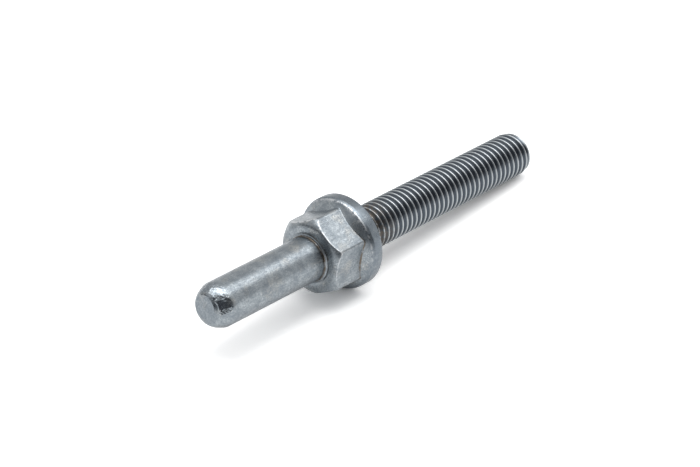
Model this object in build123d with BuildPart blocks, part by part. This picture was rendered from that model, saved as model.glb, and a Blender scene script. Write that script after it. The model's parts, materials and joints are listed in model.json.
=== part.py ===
from build123d import *

import math
import os

# A cold-formed steel stud bolt, made in one piece: a plain guide pin, a hexagon with a domed
# front and a conical flange, and a shank threaded up to the flange. All sizes are in
# millimetres and degrees.

# Threaded shank, measured from the flange's bearing face. The right-hand thread stands here as
# rings at its real pitch, with shallower grooves than the real helix has.
thread_diameter = 8.0
thread_pitch = 1.25
ring_groove_depth = 0.38
shortest_plain_length = 3.0  # between the bearing face and the first ring
thread_length = 47.5
thread_end_diameter = 7.1
thread_end_chamfer_length = 1.8

# Flange
flange_diameter = 16.6
flange_rim_thickness = 2.15
flange_cone_angle = 37.0
flange_front_edge_radius = 0.8
flange_back_chamfer = 0.15

# Hexagon
width_across_flats = 12.75
hexagon_corner_radius = 0.7
head_height = 9.9
dome_edge_diameter = 15.2
dome_edge_radius = 2.6
hexagon_turn = 4.0  # how far the uppermost corner leans to the -Y side as the bolt lies

# Guide pin, measured from the hexagon's front face
pin_diameter = 8.0
pin_length = 25.1
pin_root_chamfer = 0.35
nose_face_diameter = 5.4
nose_taper_length = 2.5
nose_edge_radius = 0.9

thread_radius = thread_diameter / 2
dome_radius = dome_edge_diameter / 2
flange_radius = flange_diameter / 2
pin_radius = pin_diameter / 2
nose_radius = nose_face_diameter / 2
nose_station = -(head_height + pin_length)
chamfer_station = thread_length - thread_end_chamfer_length

# The bolt lies on the flange's rim and on the last full crest of the thread, where the end's
# chamfer starts, so its axis slopes down towards the thread's end.
tilt = math.atan2(flange_radius - thread_radius, chamfer_station + flange_back_chamfer)
axis_height = chamfer_station * math.sin(tilt) + thread_radius * math.cos(tilt)

# The origin is on the floor, below the middle of the resting bolt's overall length.
thread_end_x = thread_length * math.cos(tilt) + thread_end_diameter / 2 * math.sin(tilt)
nose_edge_turn = math.atan2(nose_taper_length, pin_radius - nose_radius)
nose_flat_radius = nose_radius - nose_edge_radius * math.tan(nose_edge_turn / 2)
nose_x = (
    (nose_station + nose_edge_radius) * math.cos(tilt)
    - nose_flat_radius * math.sin(tilt)
    - nose_edge_radius
)
bearing_centre = Vector(-(thread_end_x + nose_x) / 2, 0, axis_height)

# Stations run along the bolt's axis from the bearing face, positive towards the thread's end.
towards_thread = Vector(math.cos(tilt), 0, -math.sin(tilt))
bolt_axis = Axis(bearing_centre, towards_thread)
bearing_plane = Plane(bearing_centre, x_dir=(0, 1, 0), z_dir=towards_thread)

# The half section rises at this angle from level, so that the seam of the turned surfaces is
# clear of the lines on which the bolt rests.
section_rise = math.radians(60)
up_across = Vector(math.sin(tilt), 0, math.cos(tilt))
outwards = Vector(0, math.cos(section_rise), 0) + up_across * math.sin(section_rise)
section_normal = towards_thread.cross(outwards)
half_section_plane = Plane(bearing_centre, x_dir=towards_thread, z_dir=section_normal)

# The thread's outline in half section, with a groove in front of each crest. The rings end at
# the last full crest.
groove_radius = thread_radius - ring_groove_depth
ring_count = int((chamfer_station - shortest_plain_length) / thread_pitch)
thread_start = chamfer_station - ring_count * thread_pitch
thread_outline = [(thread_start, thread_radius)]
for ring in range(ring_count):
    crest_station = thread_start + (ring + 1) * thread_pitch
    thread_outline += [
        (crest_station - thread_pitch / 2, groove_radius),
        (crest_station, thread_radius),
    ]

os.makedirs("parts", exist_ok=True)

with BuildPart() as stud_bolt:
    # Hexagonal bar, from the bearing face to the head's front face
    with BuildSketch(bearing_plane) as hexagon:
        RegularPolygon(
            radius=width_across_flats / 2,
            side_count=6,
            major_radius=False,
            rotation=90 + hexagon_turn,
        )
        fillet(hexagon.vertices(), hexagon_corner_radius)
    extrude(amount=-head_height)

    # The dome that forging leaves on the front cuts into the hexagon's corners and flats.
    with BuildSketch(half_section_plane):
        with BuildLine():
            FilletPolyline(
                (-head_height, 0),
                (-head_height, dome_radius),
                (0, dome_radius),
                radius=dome_edge_radius,
            )
            Polyline((0, dome_radius), (0, 0), (-head_height, 0))
        make_face()
    revolve(axis=bolt_axis, mode=Mode.INTERSECT)

    # Pin, flange and threaded shank, turned about the axis. The flange's cone starts inside the
    # hexagon, and its rim is rounded in front and chamfered behind.
    cone_depth = (flange_radius - pin_radius) * math.tan(math.radians(flange_cone_angle))
    with BuildSketch(half_section_plane):
        with BuildLine():
            FilletPolyline(
                (-flange_rim_thickness - cone_depth, pin_radius),
                (-flange_rim_thickness, flange_radius),
                (-flange_back_chamfer, flange_radius),
                radius=flange_front_edge_radius,
            )
            Polyline(
                (-flange_back_chamfer, flange_radius),
                (0, flange_radius - flange_back_chamfer),
                (0, thread_radius),
                *thread_outline,
                (thread_length, thread_end_diameter / 2),
                (thread_length, 0),
                (nose_station, 0),
                (nose_station, nose_radius),
                (nose_station + nose_taper_length, pin_radius),
                (-head_height - pin_root_chamfer, pin_radius),
                (-head_height, pin_radius + pin_root_chamfer),
                (-flange_rim_thickness - cone_depth, pin_radius),
            )
        make_face()
    revolve(axis=bolt_axis)

    # The nose's edge is the first circle along the axis.
    circles = stud_bolt.edges().filter_by(GeomType.CIRCLE).sort_by(bolt_axis)
    fillet(circles[0], nose_edge_radius)

stud_bolt.part.label = "stud_bolt"
export_step(stud_bolt.part, "parts/stud_bolt.step")
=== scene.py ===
"""Stud bolt: a zinc-plated guide pin, hexagon, flange and threaded shank, made as one piece."""

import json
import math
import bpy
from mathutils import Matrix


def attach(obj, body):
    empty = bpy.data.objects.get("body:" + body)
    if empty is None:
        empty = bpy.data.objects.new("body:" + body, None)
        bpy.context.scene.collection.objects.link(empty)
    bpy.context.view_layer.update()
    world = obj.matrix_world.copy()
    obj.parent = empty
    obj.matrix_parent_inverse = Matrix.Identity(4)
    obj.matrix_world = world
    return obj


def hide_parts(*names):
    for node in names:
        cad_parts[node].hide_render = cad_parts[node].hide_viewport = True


bl_info = {
    "name": "Stud Bolt",
    "version": (1, 0, 0),
    "blender": (4, 5, 0),
    "location": "3D View > Sidebar > Stud Bolt",
    "description": "Builds a cold-formed stud bolt with a guide pin, and a plain studio round it",
    "category": "Add Mesh",
}

import bmesh
import bpy
from bpy.props import FloatProperty, FloatVectorProperty, PointerProperty
from mathutils import Matrix, Vector

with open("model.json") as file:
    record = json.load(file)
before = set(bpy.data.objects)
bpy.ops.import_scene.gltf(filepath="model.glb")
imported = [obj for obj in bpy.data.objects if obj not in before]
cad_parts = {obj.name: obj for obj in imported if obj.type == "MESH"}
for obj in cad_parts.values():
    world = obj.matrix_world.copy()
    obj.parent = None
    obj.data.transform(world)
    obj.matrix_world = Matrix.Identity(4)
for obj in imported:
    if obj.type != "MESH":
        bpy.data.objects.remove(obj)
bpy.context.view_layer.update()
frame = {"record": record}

MM = 0.001
mounts = {mount["name"]: mount for mount in frame["record"]["mounts"]}
pin_dims = mounts["guide_pin"]["dims"]

# The bolt's own axes: x along the axis towards the thread's end, y level, z up across the axis.
# Stations run along x from the flange's bearing face.
towards_thread = Vector(mounts["bearing_face"]["axis"]).normalized()
pin_point = Vector(mounts["guide_pin"]["pos_m"])
face_point = Vector(mounts["bearing_face"]["pos_m"])
bearing_centre = pin_point + towards_thread * (face_point - pin_point).dot(towards_thread)
level_across = Vector((0, 1, 0))
up_across = towards_thread.cross(level_across)


def on_bolt(station, radius, turn):
    """The place in the frame of a point given by station, radius and angle about the axis."""
    across = level_across * math.cos(turn) + up_across * math.sin(turn)
    return bearing_centre + towards_thread * station + across * radius


# ---------------------------------------------------------------------------------------------
# Sizes, colours and studio settings
# ---------------------------------------------------------------------------------------------


def length(name, description, default_mm):
    return FloatProperty(
        name=name,
        description=description,
        default=default_mm * MM,
        min=0.0,
        precision=5,
        unit="LENGTH",
        subtype="DISTANCE",
    )


def angle(name, description, default_degrees):
    return FloatProperty(
        name=name,
        description=description,
        default=math.radians(default_degrees),
        unit="ROTATION",
        subtype="ANGLE",
    )


def fraction(name, description, default):
    return FloatProperty(
        name=name, description=description, default=default, min=0.0, max=1.0, subtype="FACTOR"
    )


def colour(name, description, default):
    return FloatVectorProperty(
        name=name, description=description, default=default, min=0.0, max=1.0, subtype="COLOR"
    )


def power(name, description, default):
    return FloatProperty(name=name, description=description, default=default, unit="POWER")


class StudBoltSizes(bpy.types.PropertyGroup):
    """Sizes of the stud bolt"""

    thread_diameter: length("Thread Diameter", "Over the thread's crests", 8.0)
    thread_pitch: length("Thread Pitch", "From one crest to the next", 1.25)
    thread_length: length("Thread Length", "From the flange's bearing face to the end", 47.5)
    thread_end_diameter: length("Thread End Diameter", "Of the end face", 7.1)
    thread_end_chamfer: length("Thread End Chamfer", "Length of the end's chamfer", 1.8)
    thread_start_angle: angle("Thread Start", "Turns the thread about the bolt's axis", 0.0)
    flange_diameter: length("Flange Diameter", "Over the flange's rim", 16.59)
    flange_rim_thickness: length("Flange Rim Thickness", "Of the rim at its outer edge", 2.15)
    flange_cone_angle: angle("Flange Cone Angle", "Of the flange's front, from the rim in", 37.0)
    width_across_flats: length("Width Across Flats", "Of the hexagon", 12.75)
    hexagon_corner_radius: length("Hexagon Corner Radius", "Rounding of the six corners", 0.7)
    hexagon_turn: angle("Hexagon Turn", "Of the uppermost corner about the axis", 4.0)
    head_height: length("Head Height", "From the bearing face to the front face", 9.9)
    pin_diameter: length("Pin Diameter", "Of the guide pin", 2 * pin_dims["r_mm"])
    pin_end: length("Pin End", "From the bearing face to the pin's nose", 35.0)
    nose_face_diameter: length("Nose Face Diameter", "Of the flat on the nose", 4.3)
    nose_face_offset: length("Nose Face Offset", "Of the sheared flat from the axis", 0.55)
    nose_taper_length: length("Nose Taper Length", "Of the tapered nose", 2.6)
    dome_offset: length("Dome Offset", "Of the head's domed front from the axis", 0.45)


class ZincFinish(bpy.types.PropertyGroup):
    """Colours and surface of the zinc plating"""

    plating: colour("Plating", "Clean zinc plating", (0.445, 0.485, 0.508))
    warm_plating: colour("Warm Plating", "Where its tint is warmer", (0.485, 0.485, 0.462))
    dull_plating: colour("Dull Plating", "Clouded patches", (0.20, 0.23, 0.26))
    forging_stain: colour("Forging Stain", "Brownish stains in the corners", (0.15, 0.125, 0.10))
    # Painted shade: a dark colour that the thread's flanks take on down into the grooves.
    painted_groove_shade: colour("Thread Shade", "Painted shade down in the thread", (0.09, 0.105, 0.125))
    # Lightens worn edges, scratches and crests. On the crests and on the upper edges it is also a
    # painted highlight.
    worn_edge_and_highlight: colour("Worn Edge And Highlight", "Worn edges and crests, with painted highlight", (0.70, 0.72, 0.74))
    clouding: fraction("Clouding", "How strongly the plating is clouded", 0.75)
    scratching: fraction("Scratching", "How many fine scratches there are", 0.5)


class StudioSettings(bpy.types.PropertyGroup):
    """Floor, lights and camera"""

    floor_colour: colour("Floor", "Plain pale floor", (0.9, 0.9, 0.9))
    floor_paleness: FloatProperty(
        name="Floor Paleness", description="Lifts the floor where it is seen", default=1.48
    )
    floor_width: length("Floor Width", "Side of the square floor", 6000.0)
    softbox_power: power("Softbox Power", "Of the softbox above the thread", 4.1)
    top_power: power("Top Power", "Of the softbox above the nose", 3.2)
    fill_strength: FloatProperty(
        name="Fill Strength", description="Of the even light from all round", default=0.70
    )
    camera_azimuth: angle("Camera Azimuth", "Round the bolt from the -Y side", -49.7017)
    camera_elevation: angle("Camera Elevation", "Above the floor", 32.5447)
    camera_distance: length("Camera Distance", "From the point looked at", 548.471)
    camera_lens: FloatProperty(
        name="Camera Lens", description="On a 36 mm sensor", default=165.936, unit="CAMERA"
    )


# ---------------------------------------------------------------------------------------------
# Bolt
# ---------------------------------------------------------------------------------------------

CORNER_STEPS = 6  # columns round each corner of the hexagon
FLAT_STEPS = 26  # columns across each flat
SIDE_TURN = math.pi / 3  # the angle about the axis from one corner to the next


def unevenness(seed, turn):
    """A smooth repeatable wobble of about -1 to 1 for an angle that goes once round the bolt."""
    total = 0.0
    for order in range(1, 7):
        # A large multiple of a sine scatters the phases, and gives the same ones every time.
        scattered = math.sin(seed * 12.9898 + order * 78.233) * 43758.5453
        total += math.sin(turn * order + scattered * math.tau) / order**0.7
    return total / 2.4


def corner_arc(sizes):
    """Distance of the rounded corners' centres from the axis, and half the angle of one arc."""
    corner_radius = sizes.hexagon_corner_radius
    centre = (sizes.width_across_flats / 2 - corner_radius) / math.cos(SIDE_TURN / 2)
    half_arc = math.atan2(
        corner_radius * math.sin(SIDE_TURN / 2),
        centre + corner_radius * math.cos(SIDE_TURN / 2),
    )
    return centre, half_arc


def turn_from_corner(sizes, turn):
    """Angle about the axis from the nearest corner of the hexagon."""
    from_flat = turn - math.pi / 2 - sizes.hexagon_turn + SIDE_TURN / 2
    return from_flat % SIDE_TURN - SIDE_TURN / 2


def column_angles(sizes):
    """Angles of the mesh's columns about the axis, closer together at the hexagon's corners."""
    half_arc = corner_arc(sizes)[1]
    flat_turn = SIDE_TURN - 2 * half_arc
    angles = []
    for corner in range(-1, 5):
        at_corner = math.pi / 2 + sizes.hexagon_turn + corner * SIDE_TURN
        for step in range(CORNER_STEPS):
            angles.append(at_corner + half_arc * (2 * step / CORNER_STEPS - 1))
        for step in range(FLAT_STEPS):
            angles.append(at_corner + half_arc + flat_turn * step / FLAT_STEPS)
    return angles


def hexagon_radius(sizes, turn):
    """Distance of the hexagon's side from the axis, at an angle about the axis."""
    aside = abs(turn_from_corner(sizes, turn))
    corner_centre, half_arc = corner_arc(sizes)
    if aside > half_arc:
        return sizes.width_across_flats / 2 / math.cos(SIDE_TURN / 2 - aside)
    across = corner_centre * math.sin(aside)
    beyond = math.sqrt(sizes.hexagon_corner_radius**2 - across**2)
    return corner_centre * math.cos(aside) + beyond


def rounded(outline):
    """Rounds the corners of an outline of (station, radius, corner radius, steps, wear) rows.

    Every corner gives steps + 1 points, so that the points of all columns line up."""
    points = []
    for index, (station, radius, corner_radius, steps, wear_and_highlight) in enumerate(outline):
        here = Vector((station, radius))
        if not steps:
            points.append((here.x, here.y, wear_and_highlight))
            continue
        before = Vector(outline[index - 1][:2]) - here
        after = Vector(outline[index + 1][:2]) - here
        half_turn = before.angle(after) / 2
        reach = min(corner_radius / math.tan(half_turn), 0.48 * before.length, 0.48 * after.length)
        before.normalize()
        after.normalize()
        arc_radius = reach * math.tan(half_turn)
        centre = here + (before + after).normalized() * (arc_radius / math.sin(half_turn))
        start, end = here + before * reach - centre, here + after * reach - centre
        sweep = start.angle_signed(end)
        for step in range(steps + 1):
            turned = start.copy()
            turned.rotate(Matrix.Rotation(-sweep * step / steps, 2))
            spot = centre + turned
            points.append((spot.x, spot.y, wear_and_highlight))
    return points


FRONT_DOME = (  # radius and how far the front face falls back there, in millimetres
    (4.00, 0.02),
    (4.90, 0.00),
    (5.40, 0.05),
    (5.80, 0.16),
    (6.10, 0.32),
    (6.40, 0.56),
    (6.70, 0.90),
    (7.00, 1.32),
    (7.30, 1.80),
    (7.80, 2.65),
)
LEAN_START, LEAN_REACH = 4.6, 1.2  # where the dome's lean starts, and over what radius it grows
DOME_LEAN = math.radians(150)  # the side to which the head's dome and the wider flats lie
SHEAR_SIDE = math.radians(28)  # the side to which the sheared flat of the nose lies
SHEAR_SLOPE = 0.07  # how far the sheared flat rises over its width
FACET_SIDE = math.radians(138)  # where the nose's taper is flatter, as if struck
STAINED_SIDE = math.radians(186)  # where stain has gathered between hexagon and flange
# The side, near the top, on which edges are lightened the most: partly wear, partly a painted
# highlight.
RUBBED_AND_HIGHLIT_SIDE = math.radians(105)  # where the edges are rubbed the most
CORNER_WEAR, WORN_WIDTH = 0.7, math.radians(2.0)  # along the hexagon's corners
PIN_ROWS = 14  # rows of faces along the pin
DOME_ROWS = 6  # rows of faces on the head's front


def front_station(sizes, radius, turn):
    """Station of the head's domed front face at a radius and an angle about the axis."""
    share = min(1.0, max(0.0, (radius / MM - LEAN_START) / LEAN_REACH))
    radius = radius / MM - share * sizes.dome_offset / MM * math.cos(turn - DOME_LEAN)
    for (inner, inner_fall), (outer, outer_fall) in zip(FRONT_DOME, FRONT_DOME[1:]):
        if radius <= outer:
            break
    part = (radius - inner) / (outer - inner)
    return -sizes.head_height + (inner_fall + part * (outer_fall - inner_fall)) * MM


def nose_station(sizes, radius, turn):
    """Station of the nose's sheared flat at a radius and an angle about the axis."""
    lowest = sizes.nose_face_offset - sizes.nose_face_diameter / 2
    return -sizes.pin_end + SHEAR_SLOPE * (radius * math.cos(turn - SHEAR_SIDE) - lowest)


def nose_edge_radius(sizes, turn):
    """Distance of the sheared flat's edge from the axis, which is a little off its middle."""
    aside = turn - SHEAR_SIDE
    radius, offset = sizes.nose_face_diameter / 2, sizes.nose_face_offset
    edge = offset * math.cos(aside) + math.sqrt(radius**2 - (offset * math.sin(aside)) ** 2)
    return edge + 0.03 * MM * unevenness(5, turn)


def nose_outline(sizes, turn):
    """Rows of the sheared flat and the taper, up to the pin's full width."""
    nose, pin_radius = -sizes.pin_end, sizes.pin_diameter / 2
    taper_end = nose + sizes.nose_taper_length + 0.08 * MM * unevenness(6, turn)
    edge = nose_edge_radius(sizes, turn)
    facet = max(0.0, math.cos(turn - FACET_SIDE)) ** 3 * MM
    outline = [
        (nose_station(sizes, edge * share, turn), edge * share, 0, 0, 0) for share in (0.3, 0.7)
    ]
    outline += [
        (nose_station(sizes, edge, turn), edge, 0.10 * MM, 3, 0.3),
        (nose + 0.45 * MM + 0.3 * facet, pin_radius - 1.05 * MM - 0.3 * facet, 0.6 * MM, 4, 0),
        (nose + 1.15 * MM + 0.3 * facet, pin_radius - 0.55 * MM - 0.2 * facet, 1.6 * MM, 4, 0),
        (taper_end, pin_radius, 1.2 * MM, 4, 0),
    ]
    return outline


def pin_outline(sizes, turn, start):
    """Rows along the pin from a station, and up its root's small chamfer."""
    pin_radius = sizes.pin_diameter / 2
    root = front_station(sizes, pin_radius, turn)
    length = root - 1.2 * MM - start
    outline = [
        (start + length * row / PIN_ROWS, pin_radius, 0, 0, 0) for row in range(1, PIN_ROWS)
    ]
    outline += [
        (root - 0.10 * MM, pin_radius, 0.30 * MM, 4, -1),
        (root - 0.02 * MM, pin_radius + 0.28 * MM, 0.08 * MM, 2, 0),
        (root + 0.10 * MM, pin_radius + 0.40 * MM, 0.08 * MM, 2, 0),
    ]
    return outline


def head_outline(sizes, turn):
    """Rows of the domed front, the hexagon's side, the flange and its bearing face."""
    side = hexagon_radius(sizes, turn) + 0.015 * MM * unevenness(3, turn)
    dome_edge = front_station(sizes, side, turn) + 0.04 * MM * unevenness(7, 3 * turn)
    rounding = (0.10 + 0.12 * (1 - math.cos(turn - DOME_LEAN))) * MM
    first = sizes.pin_diameter / 2 + 0.62 * MM
    last = side - 0.06 * MM - rounding
    outline = []
    for row in range(DOME_ROWS + 1):
        radius = first + (last - first) * row / DOME_ROWS
        outline.append((front_station(sizes, radius, turn), radius, 0, 0, 0))

    # Rows without wear, painted highlight or stain lie beside the edges, so that none of them
    # spreads over a face.
    rim_radius, rim = sizes.flange_diameter / 2, -sizes.flange_rim_thickness
    slope = math.tan(sizes.flange_cone_angle)
    corner = rim - (rim_radius - side) * slope
    # The dome's edge and the flange's edge are lightened most on the upper side, as wear and as a
    # painted highlight.
    rubbed_and_highlit = 0.55 + 0.45 * math.cos(turn - RUBBED_AND_HIGHLIT_SIDE)
    stained = -0.55 - 0.45 * max(0.0, math.cos(turn - STAINED_SIDE))
    beside, bevel = 0.60 * MM, 0.28 * MM
    outline += [
        (dome_edge, side, rounding, 3, rubbed_and_highlit),
        (dome_edge + 0.25 * MM + 1.3 * rounding, side, 0, 0, 0),
        (corner - beside, side, 0, 0, 0),
        (corner, side, 0.25 * MM, 4, stained),
        (corner + beside * slope, side + beside, 0, 0, 0),
        (rim - bevel * slope, rim_radius - bevel, 0.30 * MM, 4, 0.8 * rubbed_and_highlit),
        (rim + 0.32 * MM, rim_radius, 0.50 * MM, 5, 0),
        (0.0, rim_radius, 0.15 * MM, 4, 0.3),
        (0.0, rim_radius * 0.75, 0, 0, 0),
    ]
    return outline


def front_outline(sizes, turn):
    """Half section from the nose to the bearing face at an angle about the axis."""
    outline = nose_outline(sizes, turn)
    outline += pin_outline(sizes, turn, outline[-1][0])
    outline += head_outline(sizes, turn)
    return rounded(outline)


FIRST_CREST = 0.2132 * MM  # station of a crest at the angle 0
THREAD_DEPTH = 0.6134  # depth of the thread, as a share of its pitch
CREST_FLAT = 1 / 16  # half width of a crest, as a share of the pitch
CREST_ROUNDING = 0.03 * MM
ROOT_SOFTNESS = 0.10 * MM
START_LENGTH = 0.9 * MM  # over which the thread reaches its full depth beside the flange
START_DEPTH = 0.35  # share of the full depth at the bearing face
THREAD_ROWS = (-0.060, 0.0, 0.060, 0.10, 0.41, 0.47, 0.53, 0.59, 0.90)  # share of a pitch


def crest_station(sizes, turn):
    """Station of one of the thread's crests at an angle about the axis."""
    return FIRST_CREST + sizes.thread_pitch * (sizes.thread_start_angle + turn) / math.tau


def thread_radius(sizes, station, turn):
    """Radius of the rolled thread at a station and an angle about the axis."""
    pitch = sizes.thread_pitch
    depth = THREAD_DEPTH * pitch
    from_crest = (station - crest_station(sizes, turn) + pitch / 2) % pitch - pitch / 2
    beyond_flat = abs(from_crest) - CREST_FLAT * pitch
    fall = max(0.0, beyond_flat) * math.sqrt(3)
    if fall > depth - ROOT_SOFTNESS:
        fall = depth - ROOT_SOFTNESS * math.exp(-(fall - depth + ROOT_SOFTNESS) / ROOT_SOFTNESS)
    fall += CREST_ROUNDING * min(1.0, abs(from_crest) / (CREST_FLAT * pitch)) ** 2
    return sizes.thread_diameter / 2 - fall


def crest_radius(sizes, station):
    """Radius over the crests at a station, smaller along the end's chamfer."""
    slope = (sizes.thread_diameter - sizes.thread_end_diameter) / 2 / sizes.thread_end_chamfer
    chamfer = sizes.thread_end_diameter / 2 + (sizes.thread_length - station) * slope
    return min(sizes.thread_diameter / 2, chamfer)


def shank_radius(sizes, station, turn):
    """Radius of the thread with its shallow start and its chamfered end."""
    full = sizes.thread_diameter / 2
    share = START_DEPTH + (1 - START_DEPTH) * min(1.0, station / START_LENGTH)
    cut = full - (full - thread_radius(sizes, station, turn)) * share
    return min(cut, crest_radius(sizes, station))


def shank_stations(sizes, turn):
    """Stations of the thread's rows, which follow the helix but stay within the shank."""
    pitches = range(-3, int(sizes.thread_length / sizes.thread_pitch) + 2)  # past both ends
    crest, pitch = crest_station(sizes, turn), sizes.thread_pitch
    stations = [crest + (number + row) * pitch for number in pitches for row in THREAD_ROWS]
    return [min(max(station, 0.0), sizes.thread_length) for station in stations]


def corner_wear(sizes, station, radius, turn):
    """Wear along the hexagon's rounded corners, and 0 elsewhere."""
    on_side = abs(radius - hexagon_radius(sizes, turn)) < 0.1 * MM
    if not on_side or station >= -sizes.flange_rim_thickness:
        return 0.0
    aside = abs(turn_from_corner(sizes, turn))
    return CORNER_WEAR * max(0.0, 1 - aside / WORN_WIDTH)


def build_bolt_mesh(sizes):
    """The whole bolt as one closed mesh of columns about its axis."""
    mesh = bmesh.new()
    # Per vertex: up to 1 on worn edges, lightened most on the upper side as a painted highlight,
    # and -1 in stained corners.
    wear_and_highlight_layer = mesh.verts.layers.float.new("wear_and_highlight")  # 1 on rubbed edges, -1 in corners
    depth_layer = mesh.verts.layers.float.new("groove_depth")

    def add_vertex(station, radius, turn, wear_and_highlight=0.0, depth=0.0):
        vertex = mesh.verts.new(on_bolt(station, radius, turn))
        vertex[wear_and_highlight_layer] = wear_and_highlight
        vertex[depth_layer] = depth
        return vertex

    fronts, shanks = [], []
    for turn in column_angles(sizes):
        front = []
        for station, radius, wear_and_highlight in front_outline(sizes, turn):
            if wear_and_highlight >= 0:
                wear_and_highlight = max(wear_and_highlight, corner_wear(sizes, station, radius, turn))
            front.append(add_vertex(station, radius, turn, wear_and_highlight))
        fronts.append(front)
        shank = []
        for station in shank_stations(sizes, turn):
            radius = shank_radius(sizes, station, turn)
            depth = (crest_radius(sizes, station) - radius) / MM
            shank.append(add_vertex(station, radius, turn, depth=depth))
        shanks.append(shank)

    nose = add_vertex(nose_station(sizes, 0, 0), 0, 0)
    end = add_vertex(sizes.thread_length, 0, 0)
    for column in range(len(fronts)):
        following = (column + 1) % len(fronts)
        here, there = fronts[column], fronts[following]
        mesh.faces.new((nose, here[0], there[0]))
        for row in range(len(here) - 1):
            mesh.faces.new((here[row], here[row + 1], there[row + 1], there[row]))
        mesh.faces.new((here[-1], shanks[column][0], shanks[following][0], there[-1]))

        # Once round the bolt the helix has moved on by one pitch.
        shift = len(THREAD_ROWS) if following == 0 else 0
        here, there = shanks[column], shanks[following]
        for row in range(len(here) - 1 - shift):
            mesh.faces.new(
                (here[row], here[row + 1], there[row + 1 + shift], there[row + shift])
            )
        mesh.faces.new((here[-1], end, there[-1]))
    bmesh.ops.remove_doubles(mesh, verts=mesh.verts, dist=0.0004 * MM)
    bmesh.ops.recalc_face_normals(mesh, faces=mesh.faces)
    return mesh


# ---------------------------------------------------------------------------------------------
# Materials
# ---------------------------------------------------------------------------------------------


class Nodes:
    """Adds nodes to a tree and joins them, from left to right."""

    def __init__(self, tree):
        self.tree = tree
        self.column = 0

    def add(self, kind, inputs=None, **settings):
        node = self.tree.nodes.new(kind)
        node.location = (220 * self.column, -160 * (self.column % 4))
        self.column += 1
        for name, value in settings.items():
            setattr(node, name, value)
        for name, value in (inputs or {}).items():
            self.feed(node.inputs[name], value)
        return node

    def feed(self, socket, value):
        if isinstance(value, bpy.types.NodeSocket):
            self.tree.links.new(value, socket)
        else:
            socket.default_value = value

    def math(self, operation, *values, clamp=False):
        node = self.add("ShaderNodeMath", operation=operation, use_clamp=clamp)
        for socket, value in zip(node.inputs, values):
            self.feed(socket, value)
        return node.outputs[0]

    def along(self, vector, direction):
        node = self.add("ShaderNodeVectorMath", operation="DOT_PRODUCT")
        self.feed(node.inputs[0], vector)
        self.feed(node.inputs[1], direction)
        return node.outputs["Value"]

    def spread(self, value, low, high, out_low=0.0, out_high=1.0):
        node = self.add(
            "ShaderNodeMapRange",
            {
                "Value": value,
                "From Min": low,
                "From Max": high,
                "To Min": out_low,
                "To Max": out_high,
            },
            interpolation_type="SMOOTHSTEP",
        )
        return node.outputs["Result"]

    def blend(self, factor, first, second):
        node = self.add("ShaderNodeMix", data_type="RGBA")
        self.feed(node.inputs["Factor"], factor)
        self.feed(node.inputs["A"], first)
        self.feed(node.inputs["B"], second)
        return node.outputs["Result"]

    def noise(self, vector, scale, detail=3.0, roughness=0.5):
        node = self.add(
            "ShaderNodeTexNoise",
            {"Vector": vector, "Scale": scale, "Detail": detail, "Roughness": roughness},
        )
        return node.outputs["Fac"]

    def stretched(self, vector, scale, rotation=(0, 0, 0)):
        node = self.add(
            "ShaderNodeMapping", {"Vector": vector, "Scale": scale, "Rotation": rotation}
        )
        return node.outputs["Vector"]


def new_group(name, inputs, outputs):
    """An empty shader node group with named inputs and outputs."""
    group = bpy.data.node_groups.new(name, "ShaderNodeTree")
    for label, kind, default in inputs:
        socket = group.interface.new_socket(name=label, in_out="INPUT", socket_type=kind)
        if default is not None:
            socket.default_value = default
    for label, kind in outputs:
        group.interface.new_socket(name=label, in_out="OUTPUT", socket_type=kind)
    nodes = Nodes(group)
    return group, nodes, nodes.add("NodeGroupInput").outputs, nodes.add("NodeGroupOutput").inputs


FLOAT, VECTOR = "NodeSocketFloat", "NodeSocketVector"


def bolt_position_group():
    """Turns object coordinates into the bolt's own, in millimetres, and its radius and turn."""
    group, nodes, given, result = new_group(
        "bolt_position",
        [("Vector", VECTOR, None)],
        [("Station", FLOAT), ("Radius", FLOAT), ("Turn", FLOAT), ("Millimetres", VECTOR)],
    )
    from_face = nodes.add("ShaderNodeVectorMath", operation="SUBTRACT")
    nodes.feed(from_face.inputs[0], given["Vector"])
    nodes.feed(from_face.inputs[1], bearing_centre)
    x, y, z = (
        nodes.along(from_face.outputs["Vector"], direction / MM)
        for direction in (towards_thread, level_across, up_across)
    )
    radius = nodes.math(
        "SQRT", nodes.math("ADD", nodes.math("MULTIPLY", y, y), nodes.math("MULTIPLY", z, z))
    )
    nodes.feed(result["Station"], x)
    nodes.feed(result["Radius"], radius)
    nodes.feed(result["Turn"], nodes.math("ARCTAN2", z, y))
    joined = nodes.add("ShaderNodeCombineXYZ", {"X": x, "Y": y, "Z": z})
    nodes.feed(result["Millimetres"], joined.outputs["Vector"])
    return group


def clouding_group():
    """Soft clouds of duller plating, with the finer grain of the zinc."""
    group, nodes, given, result = new_group(
        "zinc_clouding",
        [("Vector", VECTOR, None), ("Amount", FLOAT, 0.5)],
        [("Mask", FLOAT), ("Grain", FLOAT)],
    )
    broad = nodes.noise(given["Vector"], 0.55, 4.0, 0.6)
    patches = nodes.noise(given["Vector"], 2.4, 5.0, 0.7)
    mixed = nodes.math("MULTIPLY_ADD", broad, 0.6, nodes.math("MULTIPLY", patches, 0.4))
    mask = nodes.spread(mixed, 0.38, 0.62)
    nodes.feed(result["Mask"], nodes.math("MULTIPLY", mask, given["Amount"]))
    nodes.feed(result["Grain"], nodes.noise(given["Vector"], 4.5, 5.0, 0.75))
    return group


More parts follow.
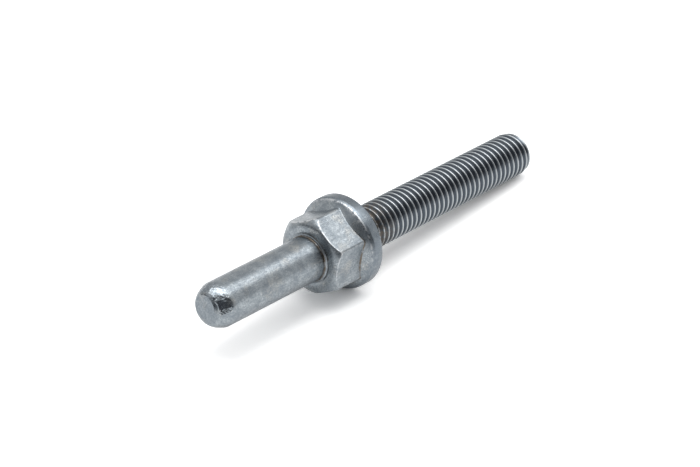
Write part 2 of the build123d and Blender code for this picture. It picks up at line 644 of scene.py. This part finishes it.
def scratches_group():
    """Fine handling scratches in two crossing directions."""
    group, nodes, given, result = new_group(
        "fine_scratches",
        [("Vector", VECTOR, None), ("Amount", FLOAT, 0.5)],
        [("Mask", FLOAT)],
    )
    parts = []
    for turn, scale in ((0.5, (0.35, 9.0, 9.0)), (-0.9, (0.5, 12.0, 12.0))):
        lines = nodes.noise(
            nodes.stretched(given["Vector"], scale, (0.2, turn, turn)), 1.0, 2.0, 0.5
        )
        parts.append(nodes.spread(lines, 0.66, 0.72))
    both = nodes.math("MAXIMUM", *parts)
    nodes.feed(result["Mask"], nodes.math("MULTIPLY", both, given["Amount"]))
    return group


def ring_stain_group():
    """A ragged stain in a ring round the bolt, at one distance along a value."""
    group, nodes, given, result = new_group(
        "ring_stain",
        [
            ("Vector", VECTOR, None),
            ("Value", FLOAT, 0.0),
            ("Centre", FLOAT, 0.0),
            ("Width", FLOAT, 0.3),
            ("Amount", FLOAT, 1.0),
        ],
        [("Mask", FLOAT)],
    )
    ragged = nodes.noise(given["Vector"], 1.4, 4.0, 0.6)
    distance = nodes.math("ABSOLUTE", nodes.math("SUBTRACT", given["Value"], given["Centre"]))
    share = nodes.math("DIVIDE", distance, given["Width"])
    shape = nodes.math("SUBTRACT", 1.0, share, clamp=True)
    broken = nodes.math("MULTIPLY", shape, nodes.spread(ragged, 0.35, 0.6))
    nodes.feed(result["Mask"], nodes.math("MULTIPLY", broken, given["Amount"]))
    return group


def use_group(nodes, group, inputs):
    """Places a node group with its own values and gives its outputs."""
    node = nodes.add("ShaderNodeGroup", node_tree=group)
    for name, value in inputs.items():
        nodes.feed(node.inputs[name], value)
    return node.outputs


def new_material(name):
    """An empty material, its nodes, and the socket that its shader goes into."""
    material = bpy.data.materials.new(name)
    material.use_nodes = True
    material.node_tree.nodes.clear()
    nodes = Nodes(material.node_tree)
    return material, nodes, nodes.add("ShaderNodeOutputMaterial").inputs["Surface"]


def new_plating(name, finish, groups):
    """A metal material with the bolt's own coordinates and the clouds that both finishes use."""
    material, nodes, surface = new_material(name)
    shader = nodes.add("ShaderNodeBsdfPrincipled")
    shader.inputs["Metallic"].default_value = 1.0
    nodes.feed(surface, shader.outputs["BSDF"])
    object_space = nodes.add("ShaderNodeTexCoord").outputs["Object"]
    place = use_group(nodes, groups["position"], {"Vector": object_space})
    clouds = use_group(
        nodes,
        groups["clouding"],
        {"Vector": place["Millimetres"], "Amount": finish.clouding},
    )
    return material, nodes, shader.inputs, place, clouds


def rgba(value):
    return (*value[:3], 1.0)


def plated_steel(sizes, finish, groups):
    """Zinc plating on the nose, pin, hexagon and flange."""
    rim, nose = sizes.flange_diameter / 2 / MM, -sizes.pin_end / MM
    nose_flat, taper_end = sizes.nose_face_diameter / 2 / MM, nose + sizes.nose_taper_length / MM
    material, nodes, shader, place, clouds = new_plating("zinc_plated_steel", finish, groups)
    millimetres = place["Millimetres"]
    scratches = use_group(
        nodes, groups["scratches"], {"Vector": millimetres, "Amount": finish.scratching}
    )
    wear_and_highlight = nodes.add("ShaderNodeAttribute", attribute_name="wear_and_highlight").outputs["Fac"]
    # Worn edges. Their extra lightening on the upper side is a painted highlight.
    worn_and_highlit = nodes.math(
        "MULTIPLY",
        nodes.spread(wear_and_highlight, 0.3, 0.9),
        nodes.spread(nodes.noise(millimetres, 1.6, 4.0, 0.65), 0.40, 0.56),
    )
    corners = nodes.math(
        "MULTIPLY",
        nodes.spread(wear_and_highlight, -0.75, -0.98),
        nodes.spread(nodes.noise(millimetres, 0.9, 3.0), 0.3, 0.6, 0.35, 1.0),
    )
    streaks = nodes.noise(nodes.stretched(millimetres, (0.7, 3.2, 3.2)), 1.0, 4.0, 0.6)

    tint = nodes.spread(nodes.noise(millimetres, 0.4, 3.0), 0.48, 0.68, 0.0, 0.8)
    surface = nodes.blend(tint, rgba(finish.plating), rgba(finish.warm_plating))
    surface = nodes.blend(clouds["Mask"], surface, rgba(finish.dull_plating))
    dull_streaks = nodes.spread(streaks, 0.45, 0.7, 0.0, 0.45)
    surface = nodes.blend(dull_streaks, surface, rgba(finish.dull_plating))
    grainy = nodes.spread(clouds["Grain"], 0.44, 0.60, 0.0, 0.8)
    surface = nodes.blend(grainy, surface, rgba(finish.dull_plating))
    blotches = nodes.spread(nodes.noise(millimetres, 1.1, 4.0, 0.65), 0.36, 0.6, 0.6, 1.0)
    at_rim = nodes.spread(place["Radius"], rim - 0.895, rim - 0.295)
    on_rim = nodes.math("MULTIPLY", at_rim, blotches)
    on_nose_flat = nodes.spread(place["Station"], nose + 0.4, nose + 0.2, 0.0, 0.45)
    duller = nodes.math("MAXIMUM", on_rim, on_nose_flat)
    surface = nodes.blend(duller, surface, rgba(finish.dull_plating))
    surface = nodes.blend(corners, surface, rgba(finish.forging_stain))
    scratched = nodes.math("MULTIPLY", scratches["Mask"], 0.35)
    surface = nodes.blend(scratched, surface, rgba(finish.worn_edge_and_highlight))
    surface = nodes.blend(nodes.math("MULTIPLY", worn_and_highlit, 0.9), surface, rgba(finish.worn_edge_and_highlight))
    nodes.feed(shader["Base Color"], surface)

    # The sheared nose is smooth and dented between its flat and the pin's full width.
    behind_flat = nodes.spread(place["Radius"], nose_flat + 0.15, nose_flat + 0.35)
    on_taper = nodes.spread(place["Station"], taper_end + 0.1, taper_end - 0.6)
    dented = nodes.math("MULTIPLY", behind_flat, on_taper)
    roughness = nodes.spread(clouds["Grain"], 0.3, 0.7, 0.25, 0.38)
    roughness = nodes.math("ADD", roughness, nodes.spread(streaks, 0.35, 0.65, -0.04, 0.06))
    nodes.feed(
        shader["Roughness"],
        nodes.math("ADD", roughness, nodes.math("MULTIPLY", dented, -0.14)),
    )

    height = nodes.math(
        "SUBTRACT",
        nodes.math("MULTIPLY", clouds["Grain"], 0.5),
        nodes.math("MULTIPLY", scratches["Mask"], 0.5),
    )
    grain = nodes.add("ShaderNodeBump", {"Strength": 0.4, "Distance": 0.05 * MM, "Height": height})
    dents = nodes.math("MULTIPLY", nodes.noise(millimetres, 1.5, 2.5), dented)
    hammered = nodes.add(
        "ShaderNodeBump",
        {
            "Strength": 1.0,
            "Distance": 0.14 * MM,
            "Height": dents,
            "Normal": grain.outputs["Normal"],
        },
    )
    nodes.feed(shader["Normal"], hammered.outputs["Normal"])
    return material


def plated_thread(finish, groups):
    """Zinc plating on the rolled thread, with painted shade down in the grooves, and crests
    lightened partly as wear and partly as a painted highlight.
    """
    material, nodes, shader, place, clouds = new_plating("zinc_plated_thread", finish, groups)
    depth = nodes.add("ShaderNodeAttribute", attribute_name="groove_depth").outputs["Fac"]
    first_crests = use_group(
        nodes,
        groups["stain"],
        {
            "Vector": place["Millimetres"],
            "Value": place["Station"],
            "Centre": 4.0,
            "Width": 6.5,
            "Amount": 1.0,
        },
    )["Mask"]
    # Painted shade: the plating is darkened down into the grooves, deeper for deeper points.
    down = nodes.spread(depth, 0.02, 0.25)
    # Crests are lightened, partly as wear and partly as a painted highlight along them.
    rubbed_and_highlit = nodes.spread(depth, 0.005, 0.045, 0.85, 0.0)
    surface = nodes.blend(down, rgba(finish.plating), rgba(finish.painted_groove_shade))
    surface = nodes.blend(rubbed_and_highlit, surface, rgba(finish.worn_edge_and_highlight))
    surface = nodes.blend(first_crests, surface, rgba(finish.forging_stain))
    nodes.feed(shader["Base Color"], surface)
    nodes.feed(shader["Roughness"], nodes.spread(clouds["Grain"], 0.3, 0.7, 0.26, 0.38))
    bump = nodes.add(
        "ShaderNodeBump", {"Strength": 0.2, "Distance": 0.04 * MM, "Height": clouds["Grain"]}
    )
    nodes.feed(shader["Normal"], bump.outputs["Normal"])
    return material


class StudBoltBuild(bpy.types.Operator):
    """Build the stud bolt in its zinc plating, lying as it comes to rest"""

    bl_idname = "stud_bolt.build"
    bl_label = "Build Stud Bolt"

    def execute(self, context):
        sizes = context.scene.stud_bolt_sizes
        finish = context.scene.stud_bolt_finish
        groups = {
            "position": bolt_position_group(),
            "clouding": clouding_group(),
            "scratches": scratches_group(),
            "stain": ring_stain_group(),
        }
        data = bpy.data.meshes.new("stud_bolt_finished")
        mesh = build_bolt_mesh(sizes)
        mesh.to_mesh(data)
        mesh.free()
        data.materials.append(plated_steel(sizes, finish, groups))
        data.materials.append(plated_thread(finish, groups))
        # Faces square to the axis are shaded flat, apart from those on the head's dome. The
        # first of the two finishes is on everything up to the bearing face and on the end face.
        for face in data.polygons:
            station = (face.center - bearing_centre).dot(towards_thread)
            faces_along = abs(face.normal.dot(towards_thread)) > 0.995
            on_head = -sizes.head_height - 1 * MM < station < -sizes.flange_rim_thickness
            face.use_smooth = on_head or not faces_along
            if station > 0.0002 * MM and not faces_along:
                face.material_index = 1
        bolt = bpy.data.objects.new("stud_bolt_finished", data)
        context.scene.collection.objects.link(bolt)
        normals = bolt.modifiers.new("Even shading", "WEIGHTED_NORMAL")
        normals.mode = "FACE_AREA"
        normals.weight = 50
        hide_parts("stud_bolt")
        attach(bolt, "root")
        return {"FINISHED"}


# ---------------------------------------------------------------------------------------------
# Studio
# ---------------------------------------------------------------------------------------------


def seen_directly(nodes):
    """1 for rays that show the background itself: from the camera and through glass."""
    path = nodes.add("ShaderNodeLightPath").outputs
    return nodes.math("MAXIMUM", path["Is Camera Ray"], path["Is Transmission Ray"])


def floor_material(studio):
    """A matt floor. Seen directly it is paler, so that only the shadows show on it."""
    material, nodes, surface = new_material("pale_floor")
    pale = tuple(channel * studio.floor_paleness for channel in studio.floor_colour)
    seen = nodes.blend(seen_directly(nodes), rgba(studio.floor_colour), rgba(pale))
    nodes.feed(surface, nodes.add("ShaderNodeBsdfDiffuse", {"Color": seen}).outputs[0])
    return material


DARK_SIDE_COLOUR = (0.085, 0.09, 0.10)
DARK_SIDE_LEAN = 0.75  # share of the lower edge's distance at which the upper edge stands
DARK_SIDES = (  # left and right ends of each lower edge, and the heights above them, in metres
    ((-0.45, 0.75, 0.04), (-0.95, 0.05, 0.04), 0.12, 0.42),
    ((-0.95, 0.05, 0.04), (-0.75, -0.65, 0.04), 0.42, 0.80),
    ((-0.75, -0.65, 0.04), (-0.15, -0.95, 0.04), 0.80, 0.80),
    ((-0.15, -0.95, 0.04), (0.25, -0.93, 0.04), 0.80, 0.70),
)
CAMERA_AIM = Vector((0.92, -0.289, 0.805)) * MM  # from the middle of the bearing face


def dark_material():
    """The dark sides of the room, which are there only for the steel to reflect."""
    material, nodes, surface = new_material("dark_side_of_room")
    glow = nodes.add("ShaderNodeEmission", {"Color": rgba(DARK_SIDE_COLOUR), "Strength": 1.0})
    nodes.feed(surface, glow.outputs[0])
    return material


def flat_panel(name, corners, material):
    """One flat face of the studio, which isn't part of the bolt."""
    mesh = bmesh.new()
    mesh.faces.new([mesh.verts.new(corner) for corner in corners])
    data = bpy.data.meshes.new(name)
    mesh.to_mesh(data)
    mesh.free()
    data.materials.append(material)
    panel = bpy.data.objects.new(name, data)
    bpy.context.scene.collection.objects.link(panel)
    return panel


def softbox(name, place, width, height, power):
    """A soft rectangular lamp that shines straight down."""
    lamp = bpy.data.lights.new(name, "AREA")
    lamp.shape = "RECTANGLE"
    lamp.size, lamp.size_y = width, height
    lamp.energy = power
    holder = bpy.data.objects.new(name, lamp)
    holder.location = place
    holder.rotation_mode = "QUATERNION"
    holder.rotation_quaternion = Vector((0, 0, -place[2])).to_track_quat("-Z", "Y")
    bpy.context.scene.collection.objects.link(holder)


class StudBoltStudio(bpy.types.Operator):
    """Build the floor, the even surround, the softboxes and the camera"""

    bl_idname = "stud_bolt.studio"
    bl_label = "Build Studio"

    def execute(self, context):
        scene = context.scene
        studio = scene.stud_bolt_studio
        half = studio.floor_width / 2
        flat_panel(
            "floor",
            [(-half, -half, 0), (half, -half, 0), (half, half, 0), (-half, half, 0)],
            floor_material(studio),
        )
        dark = dark_material()
        for number, (left, right, left_height, right_height) in enumerate(DARK_SIDES, 1):
            top_left = (left[0] * DARK_SIDE_LEAN, left[1] * DARK_SIDE_LEAN, left_height)
            top_right = (right[0] * DARK_SIDE_LEAN, right[1] * DARK_SIDE_LEAN, right_height)
            panel = flat_panel(f"dark_side_{number}", [left, right, top_right, top_left], dark)
            panel.visible_camera = False
            panel.visible_diffuse = False
            panel.visible_shadow = False

        softbox("thread_softbox", (0.5, -0.22, 0.8), 1.4, 0.62, studio.softbox_power)
        softbox("top_softbox", (-0.2, 0.15, 0.9), 0.6, 0.8, studio.top_power)

        world = bpy.data.worlds.new("even_surround")
        world.use_nodes = True
        world.node_tree.nodes.clear()
        nodes = Nodes(world.node_tree)
        fill = nodes.add(
            "ShaderNodeBackground", {"Color": (1, 1, 1, 1), "Strength": studio.fill_strength}
        )
        white = nodes.add("ShaderNodeBackground", {"Color": (1, 1, 1, 1), "Strength": 1.0})
        choose = nodes.add("ShaderNodeMixShader")
        nodes.feed(choose.inputs[0], seen_directly(nodes))
        nodes.feed(choose.inputs[1], fill.outputs[0])
        nodes.feed(choose.inputs[2], white.outputs[0])
        output = nodes.add("ShaderNodeOutputWorld")
        nodes.feed(output.inputs["Surface"], choose.outputs[0])
        scene.world = world

        turn, rise = studio.camera_azimuth, studio.camera_elevation
        back = Vector(
            (
                math.sin(turn) * math.cos(rise),
                -math.cos(turn) * math.cos(rise),
                math.sin(rise),
            )
        )
        lens = bpy.data.cameras.new("camera")
        lens.sensor_width = 36.0
        lens.lens = studio.camera_lens
        lens.clip_start, lens.clip_end = 0.01, 20.0
        camera = bpy.data.objects.new("camera", lens)
        camera.location = bearing_centre + CAMERA_AIM + back * studio.camera_distance
        camera.rotation_mode = "QUATERNION"
        camera.rotation_quaternion = (-back).to_track_quat("-Z", "Y")
        scene.collection.objects.link(camera)
        scene.camera = camera
        scene.view_settings.view_transform = "Standard"
        return {"FINISHED"}


class StudBoltPanel(bpy.types.Panel):
    """Lists the stud bolt's sizes, finish and studio, with the buttons that build them"""

    bl_idname = "VIEW3D_PT_stud_bolt"
    bl_label = "Stud Bolt"
    bl_space_type = "VIEW_3D"
    bl_region_type = "UI"
    bl_category = "Stud Bolt"

    def draw(self, context):
        scene = context.scene
        parts = (
            (StudBoltBuild.bl_idname, (scene.stud_bolt_sizes, scene.stud_bolt_finish)),
            (StudBoltStudio.bl_idname, (scene.stud_bolt_studio,)),
        )
        for operator, settings in parts:
            box = self.layout.box()
            for group in settings:
                for name in group.__annotations__:
                    box.prop(group, name)
            box.operator(operator)


classes = (
    StudBoltSizes,
    ZincFinish,
    StudioSettings,
    StudBoltBuild,
    StudBoltStudio,
    StudBoltPanel,
)


def register():
    for each in classes:
        bpy.utils.register_class(each)
    bpy.types.Scene.stud_bolt_sizes = PointerProperty(type=StudBoltSizes)
    bpy.types.Scene.stud_bolt_finish = PointerProperty(type=ZincFinish)
    bpy.types.Scene.stud_bolt_studio = PointerProperty(type=StudioSettings)


def unregister():
    del bpy.types.Scene.stud_bolt_studio
    del bpy.types.Scene.stud_bolt_finish
    del bpy.types.Scene.stud_bolt_sizes
    for each in reversed(classes):
        bpy.utils.unregister_class(each)


def main():
    register()
    bpy.ops.stud_bolt.build()
    bpy.ops.stud_bolt.studio()


if __name__ == "__main__":
    main()
